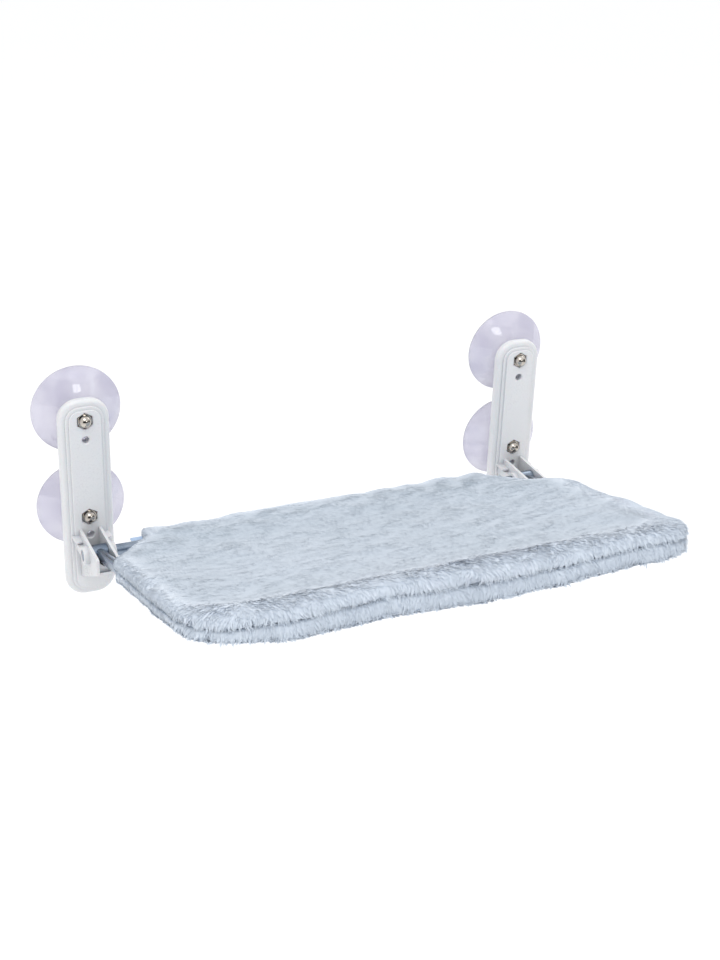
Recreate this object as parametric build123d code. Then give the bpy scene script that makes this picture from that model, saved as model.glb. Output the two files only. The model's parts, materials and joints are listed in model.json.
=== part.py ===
from build123d import *
import os
from math import atan2, cos, degrees, hypot, radians, sin, tan

# Window cat hammock. X runs along the window, Y points at the glass, Z is up.
# The origin lies on the glass plane, in the middle of the four suction cups.

# Fixing pattern on the window
bracket_spacing = 482.0  # between the brackets' centre lines
stud_spacing = 103.0  # upper to lower suction cup

# Suction cups
cup_diameter = 90.0
cup_lip = 0.9  # thickness at the rim
cup_land = 3.5  # width of the flat sealing land
cup_hollow = 10.0  # depth of the relaxed hollow
cup_dish = 14.5  # height of the dish outside, up to the neck
cup_height = 24.0  # from the glass to the seat on the bracket
hollow_bow_share = 0.77  # hollow's depth halfway out
dish_bow = 1.2  # how far the dish's outside swells beyond a straight cone
neck_diameter = 25.0
neck_fillet = 4.0
nub_diameter = 7.0  # moulding nub on the dish
nub_height = 1.4
nub_radius_share = 0.76  # its place between the centre and the rim
nub_angles = {"left_upper": 225, "left_lower": 78, "right_upper": 282, "right_lower": 75}

# Studs and acorn nuts
stud_diameter = 8.0
stud_head_diameter = 18.0
stud_head = 2.5
stud_head_cover = 2.2  # cup material between the hollow and the stud's head
stud_grip = 9.5  # thread inside the nut
nut_flats = 14.0
nut_hex = 6.2
nut_height = 13.2
nut_dome_diameter = 12.4
nut_dome_wall_share = 0.12  # straight part of the dome
nut_bore_depth = 10.5
thread_clearance = 0.05
moulded_gap = 0.03  # between a stud and the cup moulded round it

# Bracket plate
plate_width = 51.0
plate_over = 20.6  # above the upper stud
plate_under = 89.0  # below the lower stud
plate_depth = 11.0  # back to raised face
plate_corner = 20.5
rim_depth = 7.0  # back to the rim's front
step_depth = 9.0
step_inset = 6.3
face_inset = 9.5
rim_round = 4.0
step_round = 0.8
nut_pocket = 7.0  # depth of the hexagonal pocket that each nut sits in
nut_pocket_gap = 0.4
nut_pocket_edge = 0.8
stud_hole_clearance = 0.15
screw_hole = 7.0
countersink = 9.2
screw_drop = 19.7  # screw hole below each stud
skin = 2.4  # front wall of the moulding
side_wall = 2.4
back_rib = 1.8
back_rib_count = 7
cup_pad = 28.0
screw_pad = 13.0

# Clevis on the bracket
pivot_out = 28.6  # in front of the raised face
pivot_drop = 26.4  # below the lower stud
fin_gap = 17.0
fin_thickness = 2.8
fin_root_rise = 14.0  # top of the fin above the pivot, at the plate
fin_front_rise = 10.9
fin_front_drop = 6.2
fin_root_drop = 40.0
fin_round = 2.0
boss_diameter = 18.5
boss_height = 5.0
boss_web_share = 0.4  # height of the web behind the boss
ledge_rise = 5.6  # underside of the small ledge above the pivot
ledge_thickness = 2.0
ledge_width = 7.5  # beyond the fin
ledge_reach = 13.0  # in front of the raised face
ledge_round = 4.0
floor_thickness = 2.6
saddle_thickness = 3.2
saddle_setback = 7.0  # behind the fins' front
saddle_screw_gap = 4.6  # from the arm screw's head to the saddle
saddle_wrap = 2.4  # how far the saddle rises up the tube
running_clearance = 0.06
rest_clearance = 0.3

# Tubes and hinge joint
tube_diameter = 12.0
tube_wall = 1.0
platform_angle = 14.0  # degrees above the level
arm_front_half = 234.0  # half the distance between the arms at the front
front_tube_out = 306.0  # pivot to front tube
frame_bend = 45.0
eye_diameter = 18.0
eye_side_gap = 0.5
spigot_length = 20.0
spigot_clearance = 0.1
arm_start_gap = 1.0  # arm's end in front of the eye
plug_recess = 1.0  # plug's face inside the boss's face
plug_cap = 1.5
plug_stem = 9.0
plug_hollow_share = 0.6  # bore of the stem
screw_diameter = 4.0
screw_head_diameter = 7.4
screw_head = 2.6
axle_screw_length = 11.0
arm_screw_length = 7.0
arm_screw_share = 0.4  # place along the spigot
screw_clearance = 0.1
spot_depth = 0.8  # flat for each screw's head

# Plush cover
cover_overhang = 16.0  # beyond the front tube's and the arms' axes
cover_rear = 15.0  # behind the pivot
cover_corner = 60.0
notch_clearance = 34.7  # from each bracket's boss to the rear edge's end
notch_out = 66.0  # where the side starts, in front of the pivot
notch_round = 16.0
shoulder_round = 26.0
panel_height = 15.0
panel_gap = 0.15  # each panel from the seam's middle
roll_round = 12.0
seam_round = 2.6
dish_inset = 24.0  # where the hammock's dish begins
dish_slope = 40.0
dish_depth = 3.6
dish_corner_share = 0.7
dish_rear_share = 0.5  # its rear edge, as a share of notch_out
tube_clearance = 0.3

# Zip along the rear edge
zip_end = 4.0  # how far the tape runs past the rear edge's end
zip_tape_thickness = 0.9
zip_tape_inner = 8.6  # tape's inner edge behind the pivot
chain_width = 3.6
chain_thickness = 2.4
chain_round_share = 0.33
chain_gap = 0.7  # between the cover's rear and the chain
slider_length = 9.0
slider_wall = 1.2
slider_start = 6.0  # slider's middle from the chain's left end
zip_clearance = 0.3
bail_width = 3.4
bail_reach = 3.2
bail_pin = 1.3
pull_width = 5.6
pull_length = 19.0
pull_thickness = 1.1
pull_round_share = 0.25
pull_eye_clearance = 0.1
pull_side_gap = 0.25

overrun = 5.0  # every cut runs this far past its faces

seat_y = -cup_height
face_y = seat_y - plate_depth
nut_seat_y = face_y + nut_pocket
ledge_root_y = seat_y - rim_depth + skin / 2
pivot_y = face_y - pivot_out
pivot_z = -stud_spacing / 2 - pivot_drop
boss_face = fin_gap / 2 + fin_thickness + boss_height
plate_height = stud_spacing + plate_over + plate_under
plate_middle = (plate_over - plate_under) / 2
tube_radius = tube_diameter / 2
eye_width = fin_gap - 2 * eye_side_gap
arm_start = eye_diameter / 2 + arm_start_gap
arm_screw_out = arm_start + arm_screw_share * spigot_length
saddle_near = arm_screw_out * cos(radians(platform_angle)) + screw_head_diameter / 2 + saddle_screw_gap
fin_reach = pivot_out + saddle_near + saddle_thickness / 2 + saddle_setback  # in front of the raised face
toe = atan2(bracket_spacing / 2 - arm_front_half, front_tube_out)
cover_half_width = arm_front_half + cover_overhang
notch_half = bracket_spacing / 2 - boss_face - notch_clearance
zip_half = notch_half + zip_end
sides = {"left": -bracket_spacing / 2, "right": bracket_spacing / 2}
levels = {"upper": stud_spacing / 2, "lower": -stud_spacing / 2}


def front_plane(y):
    """A sketch plane facing the room: its x is X and its y is Z."""
    return Plane(origin=(0, y, 0), x_dir=(1, 0, 0), z_dir=(0, -1, 0))


def side_plane(x):
    """A sketch plane across the hammock: its x is Y and its y is Z."""
    return Plane(origin=(x, 0, 0), x_dir=(0, 1, 0), z_dir=(1, 0, 0))


def disc(y, depth, diameter, x=0, z=0):
    """A round bar from plane y towards the room."""
    return extrude(front_plane(y) * Pos(x, z) * Circle(diameter / 2), amount=depth)


def cross_bar(x, length, diameter, y=0, z=0):
    """A round bar along X, centred on x."""
    return extrude(side_plane(x - length / 2) * Pos(y, z) * Circle(diameter / 2), amount=length)


def plate_outline(inset):
    """The bracket's rounded outline, drawn in by inset."""
    return Pos(0, plate_middle) * RectangleRounded(
        plate_width - 2 * inset, plate_height - 2 * inset, plate_corner - inset
    )


def plate_layer(inset, near, far, rounding):
    """One step of the plate, rounded along its front edge."""
    layer = extrude(front_plane(seat_y - near) * plate_outline(inset), amount=far - near)
    front = layer.faces().sort_by(Axis.Y)[0]
    return fillet(front.edges(), rounding)


def hollow_back(plate):
    """Opens the moulding from behind and leaves pads and ribs."""
    shallow = extrude(front_plane(seat_y) * plate_outline(side_wall), amount=rim_depth - skin)
    deep_inset = face_inset + side_wall
    deep = extrude(front_plane(seat_y) * plate_outline(deep_inset), amount=plate_depth - skin)
    pocket = shallow + deep
    for z in levels.values():
        pocket -= disc(seat_y + overrun, plate_depth + 2 * overrun, cup_pad, z=z)
        pocket -= disc(seat_y + overrun, plate_depth + 2 * overrun, screw_pad, z=z - screw_drop)
    bar_depth = plate_depth + 2 * overrun
    spine = Pos(0, seat_y - plate_depth / 2, plate_middle) * Box(back_rib, bar_depth, plate_height)
    pocket -= spine
    for i in range(back_rib_count):
        z = plate_middle + plate_height * ((i + 1) / (back_rib_count + 1) - 1 / 2)
        pocket -= Pos(0, seat_y - plate_depth / 2, z) * Box(plate_width, bar_depth, back_rib)
    return plate - pocket


def fin_profile():
    """Side view of a fin, from inside the plate's face to its front edge."""
    root_y = face_y + skin
    front_y = face_y - fin_reach
    points = [
        (root_y, pivot_z + fin_root_rise),
        (front_y, pivot_z + fin_front_rise),
        (front_y, pivot_z - fin_front_drop),
        (root_y, pivot_z - fin_root_drop),
    ]
    outline = make_face(Polyline(*points, close=True))
    front_corners = outline.vertices().sort_by(Axis.X)[:2]
    return fillet(front_corners, fin_round)


def floor_profile():
    """Side view of the web that joins the fins along their lower edge."""
    root_y = face_y + skin
    front_y = face_y - fin_reach + fin_round
    slope = (fin_root_drop - fin_front_drop) / (fin_reach + skin)
    front_z = pivot_z - fin_front_drop - fin_round * slope
    root_z = pivot_z - fin_root_drop
    rise = floor_thickness * hypot(1, slope)
    points = [(root_y, root_z), (front_y, front_z), (front_y, front_z + rise), (root_y, root_z + rise)]
    return make_face(Polyline(*points, close=True))


def saddle():
    """The rib on the floor that the arm rests on, hollowed to the tube."""
    lean = radians(platform_angle)
    rib_y = face_y - fin_reach + saddle_setback
    out = (pivot_y - rib_y) / cos(lean)
    axis_z = pivot_z + out * sin(lean)
    top = axis_z - tube_radius * cos(lean) + saddle_wrap
    bottom = pivot_z - fin_root_drop
    rib = Pos(0, rib_y, (top + bottom) / 2) * Box(fin_gap + fin_thickness, saddle_thickness, top - bottom)
    below = Polyline(
        (face_y + skin, pivot_z - fin_root_drop),
        (face_y - fin_reach, pivot_z - fin_front_drop),
        (face_y - fin_reach, pivot_z - fin_root_drop),
        close=True,
    )
    waste_width = fin_gap + 2 * overrun
    waste = extrude(side_plane(-waste_width / 2) * make_face(below), amount=waste_width)
    groove_plane = Plane(origin=(0, pivot_y, pivot_z), x_dir=(1, 0, 0), z_dir=(0, -cos(lean), sin(lean)))
    groove_height = 2 * (tube_radius + rest_clearance)
    groove_width = groove_height + 2 * out * abs(tan(toe))
    groove = extrude(groove_plane * SlotOverall(groove_width, groove_height), amount=front_tube_out)
    return rib - waste - groove


def ledge(side):
    """The small shelf outside one fin, over its boss, with a rounded corner."""
    width = ledge_width + fin_thickness / 2
    length = ledge_root_y - face_y + ledge_reach
    middle_x = side * (fin_gap / 2 + fin_thickness + ledge_width - width / 2)
    middle_z = pivot_z + ledge_rise + ledge_thickness / 2
    shelf = Pos(middle_x, ledge_root_y - length / 2, middle_z) * Box(width, length, ledge_thickness)
    front_edges = shelf.edges().filter_by(Axis.Z).sort_by(Axis.Y)[:2]
    return fillet(front_edges.sort_by(lambda edge: abs(edge.center().X))[-1:], ledge_round)


def hexagon(flats):
    """A hexagon with a point up."""
    return Rot(0, 0, 90) * RegularPolygon(flats / 2 / cos(radians(30)), 6)


def nut_hole(z):
    """The hexagonal pocket for a nut, with its broken edge."""
    flats = nut_flats + 2 * nut_pocket_gap
    pocket = extrude(front_plane(nut_seat_y) * Pos(0, z) * hexagon(flats), amount=nut_pocket + overrun)
    edge = front_plane(face_y + nut_pocket_edge) * Pos(0, z) * hexagon(flats)
    return pocket + extrude(edge, amount=nut_pocket_edge, taper=-45)


def clevis():
    """Both fins with their bosses and ledges, the floor web and the saddle."""
    web_height = boss_diameter * boss_web_share
    web_length = pivot_out + skin
    body = extrude(side_plane(-fin_gap / 2) * floor_profile(), amount=fin_gap) + saddle()
    for side in (-1, 1):
        fin_middle = side * (fin_gap + fin_thickness) / 2
        body += extrude(side_plane(fin_middle - fin_thickness / 2) * fin_profile(), amount=fin_thickness)
        boss_middle = side * (boss_face - boss_height / 2)
        body += cross_bar(boss_middle, boss_height, boss_diameter, pivot_y, pivot_z)
        web_y = pivot_y + web_length / 2
        body += Pos(boss_middle, web_y, pivot_z) * Box(boss_height, web_length, web_height)
        body += ledge(side)
    bore = tube_diameter + 2 * running_clearance
    return body - cross_bar(0, 2 * boss_face + 2 * overrun, bore, pivot_y, pivot_z)


def bracket():
    """One bracket moulding about the plane x = 0; both sides use it."""
    plate = plate_layer(0, 0, rim_depth, rim_round)
    plate += plate_layer(step_inset, 0, step_depth, step_round)
    plate += plate_layer(face_inset, 0, plate_depth, step_round)
    plate = hollow_back(plate)
    for z in levels.values():
        hole = stud_diameter + 2 * stud_hole_clearance
        plate -= disc(seat_y + overrun, plate_depth + 2 * overrun, hole, z=z)
        plate -= nut_hole(z)
        plate -= disc(seat_y + overrun, plate_depth + 2 * overrun, screw_hole, z=z - screw_drop)
        sink = (countersink - screw_hole) / 2
        tip = Pos(0, face_y + sink / 2, z - screw_drop) * Rot(90, 0, 0)
        plate -= tip * Cone(screw_hole / 2, countersink / 2, sink)
    return plate + clevis()


def stud():
    """A round-headed stud about the Y axis, its head inside the cup."""
    head_y = -(cup_hollow + stud_head_cover)
    shank_end = nut_seat_y - stud_grip
    shank_start = head_y - stud_head
    return disc(head_y, stud_head, stud_head_diameter) + disc(shank_start, shank_start - shank_end, stud_diameter)


def stud_cavity():
    """The stud with the gap that the moulding leaves round it."""
    head_y = -(cup_hollow + stud_head_cover) + moulded_gap
    head = disc(head_y, stud_head + 2 * moulded_gap, stud_head_diameter + 2 * moulded_gap)
    return head + disc(head_y, cup_height + overrun, stud_diameter + 2 * moulded_gap)


def cup_hollow_solid():
    """The relaxed hollow of a cup, as a solid to take away."""
    hollow_rim = cup_diameter / 2 - cup_land
    profile = [
        Line((0, 0), (0, -cup_hollow)),
        ThreePointArc((0, -cup_hollow), (hollow_rim / 2, -cup_hollow * hollow_bow_share), (hollow_rim, 0)),
        Line((hollow_rim, 0), (0, 0)),
    ]
    return revolve(make_face(profile), Axis.Y)


def cup(nub_angle):
    """A relaxed suction cup about the Y axis, its rim on the glass."""
    rim = cup_diameter / 2
    neck = neck_diameter / 2
    dish_start = (neck + neck_fillet, -cup_dish)
    dish_bulge = ((dish_start[0] + rim) / 2, -(cup_dish + cup_lip) / 2 - dish_bow)
    profile = [
        Line((0, -cup_height), (neck, -cup_height)),
        Line((neck, -cup_height), (neck, -cup_dish - neck_fillet)),
        TangentArc((neck, -cup_dish - neck_fillet), dish_start, tangent=(0, 1)),
        ThreePointArc(dish_start, dish_bulge, (rim, -cup_lip)),
        Line((rim, -cup_lip), (rim, 0)),
        Line((rim, 0), (0, 0)),
        Line((0, 0), (0, -cup_height)),
    ]
    body = revolve(make_face(profile), Axis.Y)
    reach = rim * nub_radius_share
    nub_x = reach * cos(radians(nub_angle))
    nub_z = reach * sin(radians(nub_angle))
    depth = cup_dish * (1 - nub_radius_share) + dish_bow + nub_height
    body += disc(-cup_lip, depth, nub_diameter, nub_x, nub_z)
    return body - cup_hollow_solid() - stud_cavity()


def acorn_nut():
    """An acorn nut about the Y axis, seated in its pocket, a point up."""
    across_corners = nut_flats / cos(radians(30))
    body = extrude(front_plane(nut_seat_y) * hexagon(nut_flats), amount=nut_hex)
    chamfer_height = (across_corners - nut_flats) / 2
    blank = disc(nut_seat_y, nut_hex - chamfer_height, across_corners + overrun)
    place = Pos(0, nut_seat_y - nut_hex + chamfer_height / 2, 0) * Rot(90, 0, 0)
    blank += place * Cone(across_corners / 2, nut_flats / 2, chamfer_height)
    body &= blank
    dome_radius = nut_dome_diameter / 2
    wall_end = -nut_hex - (nut_height - nut_hex) * nut_dome_wall_share
    halfway = (dome_radius * sin(radians(45)), wall_end - (nut_height + wall_end) * cos(radians(45)))
    crown = [
        ThreePointArc((0, -nut_height), halfway, (dome_radius, wall_end)),
        Line((dome_radius, wall_end), (dome_radius, -nut_hex / 2)),
        Line((dome_radius, -nut_hex / 2), (0, -nut_hex / 2)),
        Line((0, -nut_hex / 2), (0, -nut_height)),
    ]
    body += Pos(0, nut_seat_y, 0) * revolve(make_face(crown), Axis.Y)
    return body - disc(nut_seat_y + overrun, nut_bore_depth + overrun, stud_diameter + 2 * thread_clearance)


def on_platform(shape):
    """Places a shape drawn level, with the pivot at its origin, on the hinge."""
    return Pos(0, pivot_y, pivot_z) * Rot(-platform_angle, 0, 0) * shape


def frame_path():
    """The bent tube's middle line, drawn level from the left arm's end."""
    arm_half = bracket_spacing / 2 - arm_start * tan(toe)
    return FilletPolyline(
        (-arm_half, -arm_start, 0),
        (-arm_front_half, -front_tube_out, 0),
        (arm_front_half, -front_tube_out, 0),
        (arm_half, -arm_start, 0),
        radius=frame_bend,
    )


def along_frame(section):
    """Sweeps a section along the bent tube's middle line."""
    path = frame_path()
    return sweep(Plane(origin=path @ 0, z_dir=path % 0) * section, path=path)


def along_arm(side, start, length, diameter):
    """A round bar on one arm's line, start in front of the pivot."""
    turn = Rot(0, 0, -side * degrees(toe)) * Rot(90, 0, 0)
    middle = start + length / 2
    return Pos(side * bracket_spacing / 2, 0, 0) * turn * Pos(0, 0, middle) * Cylinder(diameter / 2, length)


def upright_screw(x, y, seat_z, length, gap):
    """A pan-head screw from below, its head under seat_z."""
    head = Pos(x, y, seat_z - screw_head / 2) * Cylinder(screw_head_diameter / 2 + gap, screw_head)
    shank = Pos(x, y, seat_z + length / 2) * Cylinder(screw_diameter / 2 + gap, length)
    return head + shank


def axle_screw(side, gap=0):
    """The screw that locks one knuckle on the cross tube."""
    seat_z = -(eye_diameter / 2 - spot_depth)
    return upright_screw(side * bracket_spacing / 2, 0, seat_z, axle_screw_length, gap)


def arm_screw(side, gap=0):
    """The screw that holds one arm on its knuckle's spigot."""
    x = side * (bracket_spacing / 2 - arm_screw_out * tan(toe))
    return upright_screw(x, -arm_screw_out, -tube_radius, arm_screw_length, gap)


def knuckle(side):
    """An eye on the cross tube with a shoulder and a spigot for the arm."""
    spigot_diameter = tube_diameter - 2 * tube_wall - 2 * spigot_clearance
    body = cross_bar(side * bracket_spacing / 2, eye_width, eye_diameter)
    body += along_arm(side, 0, arm_start, tube_diameter)
    body += along_arm(side, 0, arm_start + spigot_length, spigot_diameter)
    bore = tube_diameter + 2 * running_clearance
    body -= cross_bar(side * bracket_spacing / 2, eye_width + 2 * overrun, bore)
    spot_z = -(eye_diameter / 2 - spot_depth) - overrun / 2
    spot = Pos(side * bracket_spacing / 2, 0, spot_z) * Cylinder(screw_head_diameter / 2 + screw_clearance, overrun)
    return body - spot - axle_screw(side, screw_clearance) - arm_screw(side, screw_clearance)


def cross_tube():
    """The rear tube, which is the hinge's axle."""
    length = bracket_spacing + 2 * (boss_face - plug_recess - plug_cap)
    tube = cross_bar(0, length, tube_diameter) - cross_bar(0, length + 2 * overrun, tube_diameter - 2 * tube_wall)
    for side in (-1, 1):
        tube -= axle_screw(side, screw_clearance)
    return tube


def end_plug(side):
    """A hollow plug whose cap closes the cross tube's end."""
    end = bracket_spacing / 2 + boss_face - plug_recess
    stem_diameter = tube_diameter - 2 * tube_wall - 2 * spigot_clearance
    cap_middle = side * (end - plug_cap / 2)
    stem_middle = side * (end - plug_cap - plug_stem / 2)
    plug = cross_bar(cap_middle, plug_cap, tube_diameter) + cross_bar(stem_middle, plug_stem, stem_diameter)
    return plug - cross_bar(stem_middle - side * plug_cap / 2, plug_stem, stem_diameter * plug_hollow_share)


def bent_frame():
    """The two arms and the front tube in one piece."""
    ring = Circle(tube_radius) - Circle(tube_radius - tube_wall)
    frame = along_frame(ring)
    for side in (-1, 1):
        frame -= arm_screw(side, screw_clearance)
    return frame


def cover_outline():
    """Plan of the cover, with its rear corners cut away for the brackets."""
    front = -(front_tube_out + cover_overhang)
    half = [(notch_half, cover_rear), (cover_half_width, -notch_out), (cover_half_width, front)]
    points = half + [(-x, y) for x, y in reversed(half)]
    outline = make_face(Polyline(*points, close=True))
    by_depth = outline.vertices().sort_by(Axis.Y)
    outline = fillet(by_depth[:2], cover_corner)
    by_depth = outline.vertices().sort_by(Axis.Y)
    outline = fillet(by_depth[-2:], notch_round)
    shoulders = outline.vertices().sort_by(lambda v: abs(v.Y + notch_out))[:2]
    return fillet(shoulders, shoulder_round)


def hammock_dish():
    """The shallow hollow of the sleeping surface, as a solid to take away."""
    front = front_tube_out + cover_overhang - dish_inset
    rear = notch_out * dish_rear_share
    length = front - rear
    width = 2 * (cover_half_width - dish_inset)
    corner = cover_corner * dish_corner_share
    middle = Pos(0, -(front + rear) / 2)
    upper = middle * RectangleRounded(width, length, corner)
    lower = middle * RectangleRounded(width - 2 * dish_slope, length - 2 * dish_slope, corner)
    return loft([Pos(0, 0, panel_height - dish_depth) * lower, Pos(0, 0, panel_height) * upper], ruled=True)


def top_panel():
    """The upper plush panel: rolled edge, drawn-in seam and dished middle."""
    panel = extrude(Pos(0, 0, panel_gap) * cover_outline(), amount=panel_height - panel_gap)
    panel = fillet(panel.faces().sort_by(Axis.Z)[-1].edges(), roll_round)
    panel = fillet(panel.faces().sort_by(Axis.Z)[0].edges(), seam_round)
    panel -= hammock_dish()
    groove = tube_diameter + 2 * tube_clearance
    panel -= along_frame(Circle(groove / 2))
    panel -= cross_bar(0, bracket_spacing, groove)
    tape_depth = cover_rear - zip_tape_inner + zip_clearance + overrun
    tape_y = zip_tape_inner - zip_clearance + tape_depth / 2
    tape_height = zip_tape_thickness + 2 * zip_clearance
    return panel - Pos(0, tape_y, 0) * Box(2 * zip_half + 2 * overrun, tape_depth, tape_height)


chain_inner = cover_rear + chain_gap
chain_outer = chain_inner + chain_width
slider_inner = cover_rear + 2 * zip_clearance
slider_outer = chain_outer + zip_clearance + slider_wall
slider_height = chain_thickness + 2 * (zip_clearance + slider_wall)
slider_x = -zip_half + slider_start
pin_y = slider_outer + bail_reach - bail_pin


def zip_tape():
    """The two tapes, closed together, held in the rear seam."""
    depth = chain_inner - zip_tape_inner
    return Pos(0, zip_tape_inner + depth / 2, 0) * Box(2 * zip_half, depth, zip_tape_thickness)


def zip_chain():
    """The closed coil along the tapes' edge."""
    bar = Pos(0, (chain_inner + chain_outer) / 2, 0) * Box(2 * zip_half, chain_width, chain_thickness)
    long_edges = bar.edges().filter_by(Axis.X)
    return fillet(long_edges, chain_thickness * chain_round_share)


def zip_slider():
    """The slider round the chain, with two ears and a pin for its pull."""
    depth = slider_outer - slider_inner
    body = Pos(slider_x, slider_inner + depth / 2, 0) * Box(slider_length, depth, slider_height)
    body = fillet(body.edges().filter_by(Axis.Z), slider_wall)
    cavity_width = chain_width + 2 * zip_clearance
    cavity_height = chain_thickness + 2 * zip_clearance
    cavity_y = (chain_inner + chain_outer) / 2
    body -= Pos(slider_x, cavity_y, 0) * Box(slider_length + overrun, cavity_width, cavity_height)
    slot_height = zip_tape_thickness + 2 * zip_clearance
    body -= Pos(slider_x, slider_inner, 0) * Box(slider_length + overrun, 2 * chain_gap, slot_height)
    ear_middle = (bail_width + slider_wall) / 2
    for side in (-1, 1):
        ear_x = slider_x + side * ear_middle
        body += Pos(ear_x, slider_outer + bail_reach / 2, 0) * Box(slider_wall, bail_reach, 2 * bail_pin)
    return body + cross_bar(slider_x, bail_width + slider_wall, bail_pin, pin_y, 0)


def zip_pull():
    """The pull tab, hanging straight down from the slider's pin."""
    lean = radians(platform_angle)
    y = pivot_y + pin_y * cos(lean)
    z = pivot_z - pin_y * sin(lean)
    hole = bail_pin + 2 * pull_eye_clearance
    eye_width_here = bail_width - 2 * pull_side_gap
    eye = cross_bar(slider_x, eye_width_here, hole + 2 * pull_thickness, y, z)
    neck_length = 2 * bail_pin + pull_thickness
    neck = Pos(slider_x, y, z - neck_length / 2) * Box(eye_width_here, pull_thickness, neck_length)
    tab_length = pull_length - neck_length
    tab = Pos(slider_x, y, z - neck_length - tab_length / 2) * Box(pull_width, pull_thickness, tab_length)
    tab = fillet(tab.edges().filter_by(Axis.Y), pull_width * pull_round_share)
    return eye + neck + tab - cross_bar(slider_x, bail_width, hole, y, z)


def write(name, shape):
    """Writes one node's solids to its own file."""
    shape.label = name
    export_step(shape, f"parts/{name}.step")


def main():
    """Builds every piece and writes it out."""
    os.makedirs("parts", exist_ok=True)
    moulding = bracket()
    nut = acorn_nut()
    bolt = stud()
    for side, x in sides.items():
        write(f"{side}_bracket", Pos(x, 0, 0) * moulding)
        write(f"{side}_cup_studs", Compound([Pos(x, 0, z) * bolt for z in levels.values()]))
        write(f"{side}_acorn_nuts", Compound([Pos(x, 0, z) * nut for z in levels.values()]))
        for level, z in levels.items():
            write(f"{side}_{level}_cup", Pos(x, 0, z) * cup(nub_angles[f"{side}_{level}"]))
    for side, sign in (("left", -1), ("right", 1)):
        write(f"{side}_knuckle", on_platform(knuckle(sign)))
    write("cross_tube", on_platform(cross_tube()))
    write("bent_frame", on_platform(bent_frame()))
    write("tube_end_plugs", Compound([on_platform(end_plug(sign)) for sign in (-1, 1)]))
    write("axle_screws", Compound([on_platform(axle_screw(sign)) for sign in (-1, 1)]))
    write("arm_screws", Compound([on_platform(arm_screw(sign)) for sign in (-1, 1)]))
    panel = top_panel()
    write("cover_top", on_platform(panel))
    write("cover_bottom", on_platform(mirror(panel, Plane.XY)))
    write("zip_tape", on_platform(zip_tape()))
    write("zip_chain", on_platform(zip_chain()))
    write("zip_slider", on_platform(zip_slider()))
    write("zip_pull", zip_pull())


main()
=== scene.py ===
"""Looks of a window cat hammock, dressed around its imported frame.

The plush cover is two padded panels with a pile of real tufts, the zip gets
its teeth, and every moulded or metal part of the frame gets its own finish.
"""
import json
import logging
import math
import random
from dataclasses import dataclass
from enum import Enum

import bmesh
import bpy
from bmesh.types import BMesh, BMFace, BMLayerItem, BMVert
from bpy.types import Collection, Material, Mesh, Node, NodeSocket, NodeTree, Object
from mathutils import Matrix, Vector, noise

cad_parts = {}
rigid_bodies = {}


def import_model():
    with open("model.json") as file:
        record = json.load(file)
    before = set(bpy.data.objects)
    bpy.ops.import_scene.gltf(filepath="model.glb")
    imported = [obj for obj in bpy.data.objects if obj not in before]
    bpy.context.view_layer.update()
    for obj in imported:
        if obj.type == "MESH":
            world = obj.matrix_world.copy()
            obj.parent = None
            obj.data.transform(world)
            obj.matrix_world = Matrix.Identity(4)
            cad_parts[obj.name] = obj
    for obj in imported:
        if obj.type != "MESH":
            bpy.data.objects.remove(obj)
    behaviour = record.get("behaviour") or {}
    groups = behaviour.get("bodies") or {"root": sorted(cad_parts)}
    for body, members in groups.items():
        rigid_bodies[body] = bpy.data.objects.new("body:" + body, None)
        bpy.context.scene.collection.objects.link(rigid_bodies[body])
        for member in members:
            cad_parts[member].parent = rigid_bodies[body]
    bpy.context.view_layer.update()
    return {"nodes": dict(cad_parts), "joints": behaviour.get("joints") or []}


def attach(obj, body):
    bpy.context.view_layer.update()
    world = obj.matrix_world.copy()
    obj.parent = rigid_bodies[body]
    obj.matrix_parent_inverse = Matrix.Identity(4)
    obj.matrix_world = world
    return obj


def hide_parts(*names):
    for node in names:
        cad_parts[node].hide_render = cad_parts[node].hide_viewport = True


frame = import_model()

log = logging.getLogger("cat_hammock")
MM = 0.001
PLATFORM_TILT = math.radians(-14)
NOISE_RANGE = (0.3, 0.7)  # where nearly all of a noise pattern lies
BEVEL = {"profile": 0.5, "material": -1}
Colour = tuple[float, float, float]


def srgb(*levels: int) -> Colour:
    """Red, green and blue as they look on a screen, as linear numbers."""
    shares = (level / 255 for level in levels)
    return tuple(s / 12.92 if s <= 0.04 else ((s + 0.055) / 1.055) ** 2.4 for s in shares)


def smooth_step(value: float, low: float, high: float) -> float:
    """0 below low, 1 above high, and a smooth rise between them."""
    share = min(1.0, max(0.0, (value - low) / (high - low)))
    return share * share * (3 - 2 * share)


def step_mm(value: float, low: float, high: float) -> float:
    """A smooth step of a length in metres between two limits in millimetres."""
    return smooth_step(value, low * MM, high * MM)


# Finishes


class Wiring:
    """A node tree, written in a few calls."""

    def __init__(self, tree: NodeTree) -> None:
        self.tree = tree

    def node(self, kind: str, inputs: dict | None = None, **settings) -> Node:
        """Adds a node.

        Args:
            kind: the node's type.
            inputs: values or output sockets for its inputs, by name or number.
            settings: the node's own properties.

        Returns:
            The new node.
        """
        made = self.tree.nodes.new(kind)
        for key, value in settings.items():
            setattr(made, key, value)
        for key, value in (inputs or {}).items():
            self.put(made.inputs[key], value)
        return made

    def put(self, socket: NodeSocket, value: object) -> None:
        """Links an output socket to this one, or sets it to a value."""
        if isinstance(value, NodeSocket):
            self.tree.links.new(value, socket)
        elif socket.type == "RGBA" and len(value) == 3:
            socket.default_value = (*value, 1.0)
        else:
            socket.default_value = value

    def sum(self, first: object, second: object, operation: str = "ADD") -> NodeSocket:
        """Two numbers put together."""
        return self.node("ShaderNodeMath", {0: first, 1: second}, operation=operation).outputs[0]


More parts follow.
